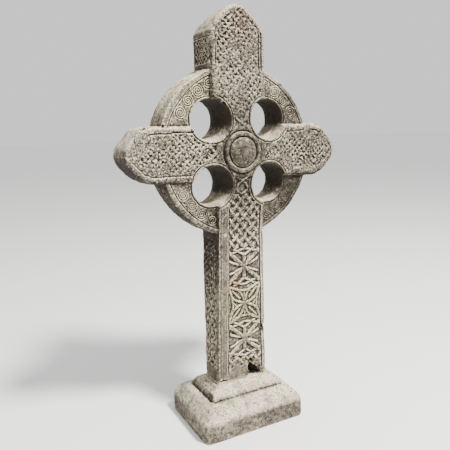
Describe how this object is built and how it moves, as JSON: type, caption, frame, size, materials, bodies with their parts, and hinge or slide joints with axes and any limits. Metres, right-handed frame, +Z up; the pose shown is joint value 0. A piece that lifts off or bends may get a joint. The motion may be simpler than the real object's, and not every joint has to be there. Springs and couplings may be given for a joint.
{
  "type": "celtic cross gravestone",
  "caption": "Celtic ring cross gravestone of cast stone with interlace panels, pierced ring, central boss and stepped plinth.",
  "frame": {"origin": "middle of the plinth's underside", "axes": "+Z up the shaft, the carved front towards -Y, +X along the side arms to the viewer's right"},
  "size_m": [0.444, 0.167, 0.8],
  "materials": {
    "cross stone": "weathered cast stone, matt",
    "base stone": "weathered cast stone, matt"
  },
  "bodies": {
    "root": {"cross": "cross stone", "base": "base stone"}
  },
  "joints": []
}
